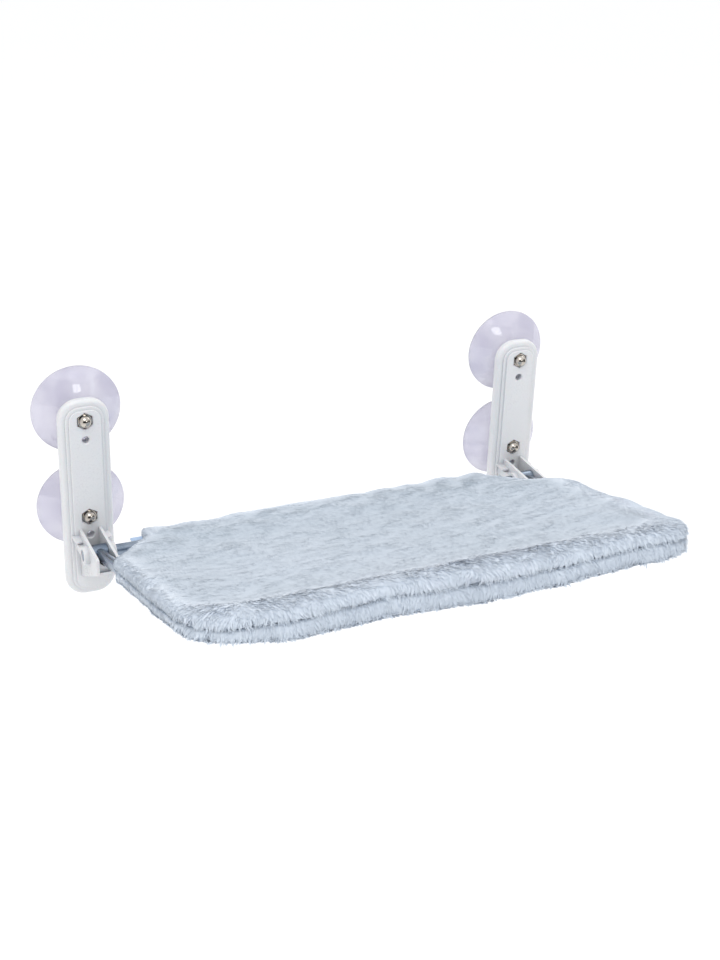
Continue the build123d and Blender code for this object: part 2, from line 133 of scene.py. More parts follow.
class Sketch(Wiring):
    """A material's node tree around one shader."""

    def __init__(self, name: str) -> None:
        self.material = bpy.data.materials.new(name)
        self.material.use_nodes = True
        super().__init__(self.material.node_tree)
        self.tree.nodes.clear()
        output = self.node("ShaderNodeOutputMaterial")
        self.shader = self.node("ShaderNodeBsdfPrincipled")
        self.put(output.inputs["Surface"], self.shader.outputs[0])
        self.place = self.node("ShaderNodeTexCoord").outputs["Object"]

    def set(self, **values: object) -> None:
        """Sets inputs of the shader, named with underscores for spaces."""
        for key, value in values.items():
            self.put(self.shader.inputs[key.replace("_", " ")], value)

    def stretched(self, x: float, y: float, z: float, tilt: float = 0.0) -> NodeSocket:
        """The object's coordinates, scaled on each axis after a tilt about X."""
        values = {"Vector": self.place, "Rotation": (tilt, 0, 0)}
        turned = self.node("ShaderNodeMapping", values, vector_type="TEXTURE")
        scaled = self.node("ShaderNodeMapping", {"Vector": turned.outputs[0], "Scale": (x, y, z)})
        return scaled.outputs[0]

    def noise(
        self, scale: float, detail: float = 3.0,
        vector: NodeSocket | None = None, roughness: float = 0.5,
    ) -> NodeSocket:
        """A noise pattern of about scale cells to the metre."""
        values = {"Vector": vector or self.place, "Scale": scale}
        values |= {"Detail": detail, "Roughness": roughness}
        return self.node("ShaderNodeTexNoise", values).outputs["Fac"]

    def remap(
        self, value: NodeSocket, low: float, high: float, start: float, end: float
    ) -> NodeSocket:
        """A value from low to high, as one from start to end, held there."""
        values = {"Value": value, "From Min": low, "From Max": high, "To Min": start, "To Max": end}
        return self.node("ShaderNodeMapRange", values).outputs[0]

    def spread(self, pattern: NodeSocket, start: float, end: float) -> NodeSocket:
        """A noise pattern as a value from start to end."""
        return self.remap(pattern, *NOISE_RANGE, start, end)

    def ramp(self, value: NodeSocket, stops: list[tuple[float, Colour]]) -> NodeSocket:
        """A colour read from stops of (place, colour)."""
        made = self.node("ShaderNodeValToRGB", {"Fac": value})
        elements = made.color_ramp.elements
        while len(elements) < len(stops):
            elements.new(0.5)
        for element, (place, colour) in zip(elements, stops):
            element.position = place
            element.color = (*colour, 1.0)
        return made.outputs["Color"]

    def mix(self, share: NodeSocket, first: object, second: object) -> NodeSocket:
        """Two colours mixed by a share."""
        made = self.node("ShaderNodeMix", {0: share, 6: first, 7: second}, data_type="RGBA")
        return made.outputs[2]

    def bump(self, height: NodeSocket, strength: float, distance: float) -> NodeSocket:
        """A bump from a height."""
        values = {"Height": height, "Strength": strength, "Distance": distance}
        return self.node("ShaderNodeBump", values).outputs[0]

    def ambient_occlusion(self, distance: float) -> NodeSocket:
        """How open each place is, 0 in a crease and 1 on an open face, for painting shade into
        creases.
        """
        made = self.node("ShaderNodeAmbientOcclusion", {"Distance": distance}, samples=8)
        return made.outputs["AO"]


@dataclass(frozen=True)
class MouldedPlastic:
    """Glossy injection-moulded plastic with a faint moulding ripple and shade painted into its
    creases.
    """

    name: str
    tint: Colour
    shade: Colour
    # crease: the colour of the shade painted into creases and recesses
    crease: Colour
    roughness: float = 0.3

    def make(self) -> Material:
        """Builds the material."""
        sketch = Sketch(self.name)
        cloudy = sketch.noise(16, 4)
        body = sketch.mix(sketch.remap(cloudy, 0.35, 0.7, 0, 1), self.tint, self.shade)
        # Painted shade: ambient occlusion mixes the crease colour into creases and recesses.
        open_share = sketch.remap(sketch.ambient_occlusion(0.009), 0.25, 0.9, 0, 1)
        sketch.set(Base_Color=sketch.mix(open_share, self.crease, body))
        fine = sketch.noise(900, 2)
        rough = sketch.sum(sketch.spread(fine, -0.03, 0.05), sketch.spread(cloudy, 0, 0.05))
        sketch.set(Roughness=sketch.sum(rough, self.roughness), IOR=1.5)
        sketch.set(Subsurface_Weight=0.08, Subsurface_Scale=0.002)
        ripple = sketch.sum(sketch.noise(160, 2), sketch.remap(fine, 0, 1, 0, 0.12))
        sketch.set(Normal=sketch.bump(ripple, 0.1, 0.0006))
        return sketch.material


@dataclass(frozen=True)
class ClearVinyl:
    """The lilac-tinted clear vinyl of the suction cups."""

    name: str = "clear_lilac_vinyl"
    tint: Colour = srgb(225, 223, 235)
    cloud: Colour = srgb(208, 206, 222)

    def make(self) -> Material:
        """Builds the material."""
        sketch = Sketch(self.name)
        cloudy = sketch.remap(sketch.noise(34, 3), 0.35, 0.65, 0, 1)
        sketch.set(Base_Color=sketch.mix(cloudy, self.tint, self.cloud))
        sketch.set(Transmission_Weight=0.72, IOR=1.42, Specular_IOR_Level=0.6)
        sketch.set(Roughness=sketch.spread(sketch.noise(220, 3), 0.04, 0.12))
        sketch.set(Coat_Weight=0.35, Coat_Roughness=0.05)
        flow = sketch.sum(sketch.noise(60, 3), sketch.remap(sketch.noise(520, 2), 0, 1, 0, 0.08))
        sketch.set(Normal=sketch.bump(flow, 0.16, 0.0012))
        return sketch.material


@dataclass(frozen=True)
class PlatedMetal:
    """Plated steel with fine draw lines along one axis."""

    name: str
    tint: Colour
    shade: Colour
    roughness: float
    grain: tuple[float, float, float]
    grain_depth: float = 0.12

    def make(self) -> Material:
        """Builds the material."""
        sketch = Sketch(self.name)
        lines = sketch.noise(1.0, 4, sketch.stretched(*self.grain), 0.6)
        cloudy = sketch.noise(45, 4)
        colour = sketch.mix(sketch.remap(cloudy, 0.35, 0.7, 0, 1), self.tint, self.shade)
        sketch.set(Base_Color=colour, Metallic=1.0)
        rough = sketch.sum(sketch.spread(lines, -0.04, 0.08), sketch.spread(cloudy, -0.02, 0.06))
        sketch.set(Roughness=sketch.sum(rough, self.roughness))
        sketch.set(Normal=sketch.bump(lines, self.grain_depth, 0.0002))
        return sketch.material


@dataclass(frozen=True)
class WovenTape:
    """Satin polyester tape, woven across its length."""

    name: str = "satin_zip_tape"
    light: Colour = srgb(196, 216, 240)
    dark: Colour = srgb(158, 184, 216)

    def make(self) -> Material:
        """Builds the material."""
        sketch = Sketch(self.name)
        level = sketch.stretched(1, 1, 1, PLATFORM_TILT)
        values = {"Vector": level, "Scale": 420, "Distortion": 0.6, "Detail": 1}
        along = sketch.node("ShaderNodeTexWave", values, bands_direction="X")
        values = {"Vector": level, "Scale": 260, "Distortion": 0.4}
        across = sketch.node("ShaderNodeTexWave", values, bands_direction="Y")
        weave = sketch.sum(along.outputs["Fac"], across.outputs["Fac"], "MULTIPLY")
        tone_mix = sketch.sum(weave, sketch.spread(sketch.noise(70, 3), -0.15, 0.15))
        sketch.set(Base_Color=sketch.ramp(tone_mix, [(0.0, self.dark), (0.75, self.light)]))
        sketch.set(Roughness=sketch.remap(weave, 0, 1, 0.62, 0.42), Sheen_Weight=0.25)
        sketch.set(Normal=sketch.bump(weave, 0.35, 0.0003))
        return sketch.material


@dataclass(frozen=True)
class PileFibre:
    """Short blue-grey faux fur; the tone runs across its map and the fibre up it."""

    name: str = "plush_pile"
    places: tuple[float, ...] = (0.04, 0.26, 0.46, 0.74, 0.96)
    tips: tuple[Colour, ...] = (
        srgb(165, 178, 190), srgb(175, 186, 198), srgb(191, 201, 213),
        srgb(211, 220, 230), srgb(222, 227, 237),
    )
    roots: tuple[Colour, ...] = (
        srgb(164, 177, 189), srgb(174, 185, 197), srgb(189, 199, 211),
        srgb(208, 217, 227), srgb(217, 223, 233),
    )

    def make(self) -> Material:
        """Builds the material."""
        sketch = Sketch(self.name)
        spots = sketch.node("ShaderNodeUVMap", uv_map="OFBake").outputs[0]
        parts = sketch.node("ShaderNodeSeparateXYZ", {0: spots})
        tone, along = parts.outputs[0], parts.outputs[1]
        tip = sketch.ramp(tone, list(zip(self.places, self.tips)))
        root = sketch.ramp(tone, list(zip(self.places, self.roots)))
        sketch.set(Base_Color=sketch.mix(sketch.remap(along, 0.1, 0.75, 0, 1), root, tip))
        sketch.set(Roughness=sketch.remap(along, 0, 1, 0.85, 0.6), Specular_IOR_Level=0.25)
        sketch.set(Sheen_Weight=0.35, Sheen_Roughness=0.5)
        return sketch.material


@dataclass(frozen=True)
class PlushBacking:
    """The knitted ground under the pile, matted with its short under-fibres, with shade painted
    into the seam's groove and light painted under the rim's pile.
    """

    name: str = "plush_backing"
    low: Colour = srgb(168, 180, 192)
    middle: Colour = srgb(176, 187, 199)
    high: Colour = srgb(186, 196, 208)
    groove_shade: Colour = srgb(150, 163, 178)
    pale: Colour = srgb(206, 215, 226)

    def make(self) -> Material:
        """Builds the material."""
        sketch = Sketch(self.name)
        strands = sketch.noise(1.0, 5, sketch.stretched(170, 330, 300), 0.7)
        brushed = sketch.noise(1.0, 4, sketch.stretched(9, 26, 26), 0.55)
        broad = sketch.spread(sketch.noise(11, 3), 0, 0.35)
        clouds = sketch.sum(sketch.spread(brushed, 0, 0.4), broad)
        level = sketch.sum(sketch.spread(strands, 0, 0.3), clouds)
        stops = [(0.1, self.low), (0.5, self.middle), (0.95, self.high)]
        seam = sketch.node("ShaderNodeAttribute", attribute_name="seam").outputs["Fac"]
        rim = sketch.node("ShaderNodeAttribute", attribute_name="rim").outputs["Fac"]
        # Painted light: the backing under the rim's pile is paler, lifting the shade in the gaps
        # between its locks.
        tone_mix = sketch.mix(rim, sketch.ramp(level, stops), self.pale)
        # Painted shade: the groove between the two panels is darker along the seam.
        sketch.set(Base_Color=sketch.mix(seam, self.groove_shade, tone_mix))
        sketch.set(Roughness=sketch.spread(strands, 0.95, 0.75))
        sketch.set(Sheen_Weight=0.4, Sheen_Roughness=0.5, Specular_IOR_Level=0.2)
        sketch.set(Normal=sketch.bump(strands, 0.55, 0.0012))
        return sketch.material


@dataclass(frozen=True)
class PaleFloor:
    """The plain pale floor of the studio."""

    name: str = "pale_floor"
    tint: Colour = (0.98, 0.98, 0.98)

    def make(self) -> Material:
        """Builds the material."""
        sketch = Sketch(self.name)
        faint = sketch.spread(sketch.noise(0.8, 2), 0, 1)
        shade = tuple(c * 0.995 for c in self.tint)
        sketch.set(Base_Color=sketch.mix(faint, self.tint, shade), Roughness=0.9)
        return sketch.material


class Finish(Enum):
    """Every finish of the hammock, with the record's slot that it dresses."""

    WHITE_PLASTIC = "white_plastic"
    CLEAR_VINYL = "clear_pvc"
    BRIGHT_NICKEL = "bright_nickel"
    ZINC_STEEL = "zinc_steel"
    GREY_PLASTIC = "grey_plastic"
    PLUSH = "blue_plush"
    TAPE = "blue_tape"
    COIL = "blue_coil"
    PALE_METAL = "pale_metal"


class FinishShelf:
    """Makes each finish once and hands it out."""

    recipes = {
        # Each moulded plastic's third colour is the shade painted into its creases.
        Finish.WHITE_PLASTIC: MouldedPlastic(
            "cool_white_plastic",
            srgb(214, 215, 217), srgb(211, 212, 214), srgb(192, 194, 199), 0.26,
        ),
        Finish.CLEAR_VINYL: ClearVinyl(),
        Finish.BRIGHT_NICKEL: PlatedMetal(
            "bright_nickel_plate",
            srgb(204, 197, 188), srgb(174, 167, 159), 0.03, (700, 60, 700), grain_depth=0.03,
        ),
        Finish.ZINC_STEEL: PlatedMetal(
            "zinc_plated_tube", srgb(150, 161, 175), srgb(112, 125, 142), 0.2, (60, 1100, 1100)
        ),
        Finish.GREY_PLASTIC: MouldedPlastic(
            "cool_grey_plastic", srgb(158, 169, 181), srgb(146, 158, 171), srgb(92, 102, 114), 0.34
        ),
        Finish.PLUSH: PlushBacking(),
        Finish.TAPE: WovenTape(),
        Finish.COIL: MouldedPlastic(
            "nylon_coil", srgb(190, 210, 234), srgb(178, 199, 225), srgb(112, 134, 164), 0.35
        ),
        Finish.PALE_METAL: PlatedMetal(
            "pale_slider_metal", srgb(205, 216, 230), srgb(178, 192, 210), 0.3, (500, 500, 120)
        ),
    }
    made: dict[Finish, Material] = {}  # filled on first use

    @classmethod
    def get(cls, finish: Finish) -> Material:
        """The material of a finish, made on first use."""
        if finish not in cls.made:
            cls.made[finish] = cls.recipes[finish].make()
        return cls.made[finish]


def dress_node(name: str, finish: Finish) -> None:
    """Gives a node of the frame its finish in each of its slots."""
    node = frame["nodes"][name]
    material = FinishShelf.get(finish)
    if not node.data.materials:
        node.data.materials.append(material)
    for slot in node.material_slots:
        slot.material = material
    log.info("%s dressed in %s", name, material.name)


def linked(name: str, data: bpy.types.ID) -> Object:
    """A new object in the scene, at the origin."""
    made = bpy.data.objects.new(name, data)
    bpy.context.scene.collection.objects.link(made)
    return made


def new_piece(name: str, mesh: Mesh, finish: Material) -> Object:
    """Adds a finished mesh to the scene as one piece.

    Args:
        name: the piece's name.
        mesh: its mesh, in place in the row frame.
        finish: its material.

    Returns:
        The new object, at the origin.
    """
    mesh.name = name
    mesh.materials.clear()
    mesh.materials.append(finish)
    return linked(name, mesh)


def mesh_from(shape: BMesh, name: str, smooth: bool = True) -> Mesh:
    """Turns a finished bmesh into a mesh and frees it."""
    for face in shape.faces:
        face.smooth = smooth
    mesh = bpy.data.meshes.new(name)
    shape.to_mesh(mesh)
    shape.free()
    return mesh


def extruded(shape: BMesh, face: BMFace) -> tuple[list, BMFace]:
    """Extrudes a face in place and returns the new corners and the new face."""
    grown = bmesh.ops.extrude_face_region(shape, geom=[face])["geom"]
    verts = [v for v in grown if isinstance(v, BMVert)]
    return verts, next(f for f in grown if isinstance(f, BMFace))


def rounded_block(size: tuple[float, float, float], reach: float, segments: int) -> BMesh:
    """A block whose edges are rounded by a reach."""
    shape = bmesh.new()
    bmesh.ops.create_cube(shape, size=1.0)
    bmesh.ops.scale(shape, vec=Vector(size), verts=shape.verts)
    edges = shape.edges[:]
    bmesh.ops.bevel(shape, geom=edges, offset=reach, segments=segments, affect="EDGES", **BEVEL)
    return shape


def modified(mesh: Mesh, kind: str, **settings) -> Mesh:
    """A mesh after one modifier with these settings."""
    holder = linked("holder", mesh)
    made = holder.modifiers.new("made", kind)
    for key, value in settings.items():
        setattr(made, key, value)
    return applied(holder)


def applied(piece: Object) -> Mesh:
    """A piece's mesh with its modifiers applied; the piece is removed."""
    graph = bpy.context.evaluated_depsgraph_get()
    mesh = bpy.data.meshes.new_from_object(
        piece.evaluated_get(graph), preserve_all_data_layers=True, depsgraph=graph
    )
    bpy.data.objects.remove(piece)
    return mesh


# The plush cover


class Zone(Enum):
    """The parts of a panel whose pile is one piece each."""

    CROWN_LEFT = "crown_left"
    CROWN_RIGHT = "crown_right"
    RIM_FRONT = "rim_front"
    RIM_LEFT = "rim_left"
    RIM_RIGHT = "rim_right"


@dataclass
class Tufts:
    """The little locks of fibres that the pile is scattered from.

    A tuft lies along +Z, with +X away from the ground that it grows on.
    """

    name: str
    kinds: int
    fibres: int
    across: float
    along: float
    rise: float
    length: float
    thickness: float
    flatness: float
    taper: float
    sway: float
    first_seed: int = 40

    def fibre(
        self, shape: BMesh, up: BMLayerItem, rng: random.Random
    ) -> None:
        """Extrudes one leaning, tapering fibre from a three-sided foot.

        Args:
            shape: the bmesh that gets the fibre.
            up: the vertex layer that holds the place up the fibre.
            rng: the seeded source of its place and lean.
        """
        foot = Vector((
            rng.uniform(-1, 0.3) * self.rise,
            rng.gauss(0, 0.5) * self.across,
            rng.uniform(-1, 1) * self.along,
        ))
        length = self.length * rng.uniform(0.75, 1.1)
        lean = Vector((
            rng.uniform(-0.4, 1) * self.rise,
            rng.gauss(0, 0.45) * self.sway - 0.3 * foot.y,
            0,
        ))
        made = bmesh.ops.create_circle(shape, cap_ends=True, segments=3, radius=self.thickness)
        pressed = Matrix.Scale(self.flatness, 4, Vector((1, 0, 0)))
        spin = Matrix.Rotation(rng.uniform(0, math.tau), 4, "Z")
        turn = Matrix.Translation(foot) @ pressed @ spin
        bmesh.ops.transform(shape, matrix=turn, verts=made["verts"])
        verts, face = extruded(shape, made["verts"][0].link_faces[0])
        bmesh.ops.translate(shape, vec=Vector((0, 0, length)) + lean, verts=verts)
        centre = sum((v.co for v in verts), Vector()) / len(verts)
        for vert in verts:
            vert.co = centre + (vert.co - centre) * self.taper
            vert[up] = 1.0
        bmesh.ops.collapse(shape, edges=list(face.edges))

    def make(self) -> Collection:
        """Builds the kinds of tuft in a collection of their own."""
        shelf = bpy.data.collections.new(self.name)
        bpy.context.scene.collection.children.link(shelf)
        for kind in range(self.kinds):
            rng = random.Random(self.first_seed + kind)
            shape = bmesh.new()
            up = shape.verts.layers.float.new("along")
            for _ in range(self.fibres):
                self.fibre(shape, up, rng)
            bmesh.ops.recalc_face_normals(shape, faces=shape.faces)
            name = f"{self.name}_{kind}"
            shelf.objects.link(bpy.data.objects.new(name, mesh_from(shape, name, smooth=False)))
        return shelf


CROWN_TUFTS = Tufts(
    "crown_tuft", kinds=5, fibres=8, across=2.6 * MM, along=2.6 * MM, rise=0.12 * MM,
    length=6.0 * MM, thickness=0.55 * MM, flatness=0.06, taper=0.1, sway=0.9 * MM,
)
RIM_TUFTS = Tufts(
    "rim_tuft", kinds=6, fibres=9, across=1.5 * MM, along=1.4 * MM, rise=0.25 * MM,
    length=5.4 * MM, thickness=0.44 * MM, flatness=0.1, taper=0.12, sway=1.0 * MM,
)


class ScatterTree(Wiring):
    """The node tree that sets tufts on a panel, combed as its attributes say."""

    most_tufts = 400000.0  # to the square metre
    lengths = (0.8, 1.2)
    widths = (0.85, 1.2)
    tones = (-0.04, 0.04)
    map_edge = 0.02

    def __init__(self, recipe: Tufts, stray: float) -> None:
        self.tufts = recipe.make()
        super().__init__(bpy.data.node_groups.new("pile_scatter", "GeometryNodeTree"))
        for way in ("INPUT", "OUTPUT"):
            self.tree.interface.new_socket(
                name="Geometry", in_out=way, socket_type="NodeSocketGeometry"
            )
        self.spacing = self.node("ShaderNodeValue").outputs[0]
        self.seed = self.node("FunctionNodeInputInt")
        values = {
            "Mesh": self.node("NodeGroupInput").outputs[0],
            "Distance Min": self.spacing,
            "Density Max": self.most_tufts,
            "Density Factor": self.attribute("FLOAT", "density"),
        }
        spots = self.node(
            "GeometryNodeDistributePointsOnFaces", values, distribute_method="POISSON"
        )
        self.put(spots.inputs["Seed"], self.seed.outputs[0])
        placed = self.placed(spots, stray).outputs[0]
        shade = self.sum(self.attribute("FLOAT", "tone"), self.random(*self.tones, 5))
        toned = self.store(placed, "FLOAT", "INSTANCE", "tone", shade)
        real = self.node("GeometryNodeRealizeInstances", {0: toned}).outputs[0]
        spot = self.node(
            "ShaderNodeCombineXYZ",
            {0: self.attribute("FLOAT", "tone"), 1: self.attribute("FLOAT", "along")},
        ).outputs[0]
        for limit, edge in (("MAXIMUM", self.map_edge), ("MINIMUM", 1 - self.map_edge)):
            values = {0: spot, 1: (edge, edge, 0)}
            spot = self.node("ShaderNodeVectorMath", values, operation=limit).outputs[0]
        mapped = self.store(real, "FLOAT2", "CORNER", "OFBake", spot)
        self.put(self.node("NodeGroupOutput").inputs[0], mapped)

    def placed(self, spots: Node, stray: float) -> Node:
        """Sets a tuft on each spot, laid the combed way and sized by its length."""
        strayed = self.random((-stray,) * 3, (stray,) * 3, 2, "FLOAT_VECTOR")
        way = self.node(
            "ShaderNodeVectorMath", {0: self.attribute("FLOAT_VECTOR", "comb"), 1: strayed}
        )
        laid = self.node("FunctionNodeAlignRotationToVector", {"Vector": way.outputs[0]}, axis="Z")
        turned = self.node(
            "FunctionNodeAlignRotationToVector",
            {"Rotation": laid.outputs[0], "Vector": spots.outputs["Normal"]},
            axis="X",
            pivot_axis="Z",
        )
        pile = self.attribute("FLOAT", "pile")
        long = self.sum(pile, self.random(*self.lengths, 3), "MULTIPLY")
        wide = self.random(*self.widths, 4)
        values = {0: self.tufts, "Separate Children": True, "Reset Children": True}
        values = {
            "Points": spots.outputs["Points"],
            "Instance": self.node("GeometryNodeCollectionInfo", values).outputs[0],
            "Pick Instance": True,
            "Rotation": turned.outputs[0],
            "Scale": self.node("ShaderNodeCombineXYZ", {0: wide, 1: wide, 2: long}).outputs[0],
        }
        return self.node("GeometryNodeInstanceOnPoints", values)

    def attribute(self, kind: str, name: str) -> NodeSocket:
        """A named attribute of the geometry that is read."""
        made = self.node("GeometryNodeInputNamedAttribute", {"Name": name}, data_type=kind)
        return made.outputs[0]

    def store(
        self, geometry: NodeSocket, kind: str, domain: str, name: str, value: NodeSocket
    ) -> NodeSocket:
        """Stores a value as a named attribute and returns the geometry."""
        values = {"Geometry": geometry, "Name": name}
        made = self.node("GeometryNodeStoreNamedAttribute", values, data_type=kind, domain=domain)
        self.put(made.inputs["Value"], value)
        return made.outputs[0]

    def random(
        self, low: object, high: object, seed: int, kind: str = "FLOAT"
    ) -> NodeSocket:
        """A random value for each tuft, between low and high."""
        made = self.node("FunctionNodeRandomValue", data_type=kind)
        live = [socket for socket in made.inputs if socket.enabled]
        live[0].default_value, live[1].default_value = low, high
        next(s for s in live if s.name == "Seed").default_value = seed
        return next(s for s in made.outputs if s.enabled)

    def grow(self, ground: Mesh, spacing: float, seed: int) -> Mesh:
        """Scatters tufts over a combed panel.

        Args:
            ground: the panel's mesh with its density, comb, pile and tone.
            spacing: the least distance between two tufts, in metres.
            seed: the seed of this scatter.

        Returns:
            The tufts as one mesh.
        """
        self.spacing.default_value = spacing
        self.seed.integer = seed
        return modified(ground, "NODES", node_group=self.tree)

    def clear(self) -> None:
        """Removes the tufts that the scatter was fed with."""
        for tuft in list(self.tufts.objects):
            bpy.data.objects.remove(tuft)
        bpy.data.collections.remove(self.tufts)


def platform_place() -> Matrix:
    """Where the level-drawn platform stands in the row frame."""
    hinge = next(j for j in frame["joints"] if j["name"] == "platform_fold")
    return Matrix.Translation(Vector(hinge["pos_m"])) @ Matrix.Rotation(PLATFORM_TILT, 4, "X")


def write_values(mesh: Mesh, name: str, values: list) -> None:
    """Holds one number or vector for each vertex in a named attribute."""
    vector = hasattr(values[0], "__len__")
    kind = "FLOAT_VECTOR" if vector else "FLOAT"
    held = mesh.attributes.get(name) or mesh.attributes.new(name, kind, "POINT")
    flat = [number for value in values for number in value] if vector else values
    held.data.foreach_set("vector" if vector else "value", flat)


# Cells to the metre of the noise that shapes and combs the pile
WAVE, RIPPLE, STREAK = 14, 42, (45, 130, 90)
SEAM_WAVE, SEAM_RIPPLE = 11, 34
SWIRL, CLUMP, UNEVEN, BROAD, SPECKLE = 9, 60, 85, 8, 26


@dataclass(frozen=True)
class Lay:
    """How steeply the pile stands and how pale it is, by place. The rim, clump, steep and crest
    tones are painted light that offsets the shadow and dimmer light in the pile; the under shade is
    shade painted on the lower panel's front roll.
    """

    lift: float = 0.14
    front_lift: float = 0.09
    rear_lift: float = 0.06
    crown_lift: float = 0.022
    tone: float = 0.26
    mottled: float = 0.6
    rim_tone: float = 0.4
    clump_tone: float = 0.12
    steep_painted_light: float = 0.08
    crest_painted_light: float = 0.34
    under_shade: float = 0.12
    rear_shade: float = 0.3


@dataclass
class PlushPanel:
    """One padded panel of the cover, drawn level with the hinge at the origin."""

    name: str
    side: int
    seed: int
    stands_for: str
    half_width: float = 250 * MM
    front: float = 322 * MM
    rear: float = 15 * MM
    notch_half: float = 190 * MM
    notch_out: float = 66 * MM
    corner: float = 52 * MM
    left_corner: float = 66 * MM
    notch_round: float = 6.5 * MM
    shoulder_round: float = 26 * MM
    height: float = 15 * MM
    skin: float = 3.0 * MM
    rear_skin: float = 2.0 * MM
    notch_skin: float = 4.0 * MM
    roll: float = 7.5 * MM
    seam_round: float = 1.5 * MM
    voxel: float = 5 * MM
    sag: float = 4.0 * MM
    rear_swell: float = 2.5 * MM
    front_droop: float = 5.0 * MM
    right_swell: float = 7.0 * MM
    corner_point: float = 6.0 * MM
    seam_wander: float = 3.2 * MM
    notch_dip: float = 7.0 * MM
    puff_cap: float = 3.5 * MM
    crown_spacing: float = 2.8 * MM
    rim_spacing: float = 1.9 * MM
    seam_gap: float = 1.6 * MM
    filling: float = 4.0
    cloth_frames: int = 20
    lay: Lay = Lay()

    def slant(self) -> tuple[Vector, Vector]:
        """The slanting edge next to a bracket, and the way inside from it."""
        slope = Vector((self.half_width - self.notch_half, -(self.notch_out + self.rear)))
        return slope, Vector((slope.y, -slope.x)).normalized()

    def corners(self) -> list[Vector]:
        """The backing's six corners, each edge drawn in by the pile's depth."""
        rear, side = self.rear - self.rear_skin, self.half_width - self.skin
        slope, inward = self.slant()
        start = Vector((self.notch_half, self.rear)) + inward * self.notch_skin
        rear_x = start.x + slope.x * (rear - start.y) / slope.y
        side_y = start.y + slope.y * (side - start.x) / slope.x
        half = [(rear_x, rear), (side, side_y), (side, self.skin - self.front)]
        return [Vector((x, y, 0)) for x, y in half + [(-x, y) for x, y in reversed(half)]]

    def blank(self) -> Mesh:
        """The panel's plain form: rounded plan, rolled rim, drawn-in seam."""
        shape = bmesh.new()
        verts = [shape.verts.new(corner) for corner in self.corners()]
        shape.faces.new(verts)
        rounds = {
            self.notch_round * 0.5: (0, 5),
            self.shoulder_round * 0.33: (1, 4),
            self.corner: (2,),
            self.left_corner: (3,),
        }
        for reach, places in rounds.items():
            options = {"geom": [verts[place] for place in places], "offset": reach - self.skin / 2}
            bmesh.ops.bevel(shape, segments=8, affect="VERTICES", **options, **BEVEL)
        lifted, top = extruded(shape, shape.faces[:][0])
        bmesh.ops.translate(shape, vec=Vector((0, 0, self.height - self.skin)), verts=lifted)
        options = {"segments": 6, "affect": "EDGES", **BEVEL}
        bmesh.ops.bevel(shape, geom=list(top.edges), offset=self.roll, **options)
        floor = min(shape.faces, key=lambda f: f.calc_center_median().z)
        bmesh.ops.bevel(shape, geom=list(floor.edges), offset=self.seam_round, **options)
        bmesh.ops.recalc_face_normals(shape, faces=shape.faces)
        return mesh_from(shape, self.name)

    def remeshed(self, mesh: Mesh) -> Mesh:
        """The form as one even net of small faces."""
        settings = {"mode": "VOXEL", "voxel_size": self.voxel, "use_smooth_shade": True}
        return modified(mesh, "REMESH", **settings)

    def puffed(self, mesh: Mesh) -> Mesh:
        """The panel after a short cloth run under the pressure of its filling."""
        before = [v.co.copy() for v in mesh.vertices]
        holder = linked("panel_cloth", mesh)
        pins = holder.vertex_groups.new(name="pins")
        for vertex in mesh.vertices:
            hold = 1.0 if vertex.co.z < 2 * MM else 0.35 * self.crown_share(vertex.co)
            pins.add([vertex.index], hold, "REPLACE")
        cloth = holder.modifiers.new("filling", "CLOTH")
        cloth.settings.quality = 5
        cloth.settings.mass = 0.4
        cloth.settings.vertex_group_mass = "pins"
        cloth.settings.use_pressure = True
        cloth.settings.uniform_pressure_force = self.filling
        cloth.settings.effector_weights.gravity = 0.0
        scene = bpy.context.scene
        for number in range(1, self.cloth_frames + 1):
            scene.frame_set(number)
        moved = applied(holder)
        scene.frame_set(1)
        for vertex, start in zip(moved.vertices, before):
            step = vertex.co - start
            vertex.co = start + step * min(1.0, self.puff_cap / max(step.length, 1e-6))
        return self.eased(moved)

    def eased(self, mesh: Mesh) -> Mesh:
        """The panel with the creases of the cloth run smoothed out above its rim."""
        holder = linked("panel_eased", mesh)
        above = holder.vertex_groups.new(name="above")
        for vertex in mesh.vertices:
            share = step_mm(self.edge_distance(vertex.co), 10, 20)
            above.add([vertex.index], share if vertex.co.z > 6 * MM else 0.0, "REPLACE")
        smooth = holder.modifiers.new("ease", "SMOOTH")
        smooth.factor = 0.5
        smooth.iterations = 24
        smooth.vertex_group = "above"
        return applied(holder)

    def subdivided(self, mesh: Mesh) -> Mesh:
        """The panel with each face parted in four and smoothed."""
        return modified(mesh, "SUBSURF", levels=1, render_levels=1)

    def notch_distance(self, place: Vector) -> float:
        """How far a place lies inside the slanting edge next to a bracket."""
        start = Vector((self.notch_half, self.rear))
        return (Vector((abs(place.x), place.y)) - start).dot(self.slant()[1])

    def edge_distance(self, place: Vector) -> float:
        """How far a place lies inside the panel's plan."""
        x, y = abs(place.x), place.y
        reach = [self.half_width - x, self.front + y, self.rear - y, self.notch_distance(place)]
        corner = self.corner if place.x > 0 else self.left_corner
        centre = Vector((self.half_width - corner, -(self.front - corner)))
        if x > centre.x and y < centre.y:
            reach.append(corner - (Vector((x, y)) - centre).length)
        return min(reach)

    def front_share(self, place: Vector) -> float:
        """0 at the rear and along the sides, 1 at the front edge."""
        return smooth_step(-place.y, self.front - 85 * MM, self.front - 25 * MM)

    def crown_share(self, place: Vector) -> float:
        """0 on the rim, 1 on the flat of the panel."""
        front = self.front_share(place)
        return step_mm(self.edge_distance(place), 7 + 5 * front, 26 + 46 * front)

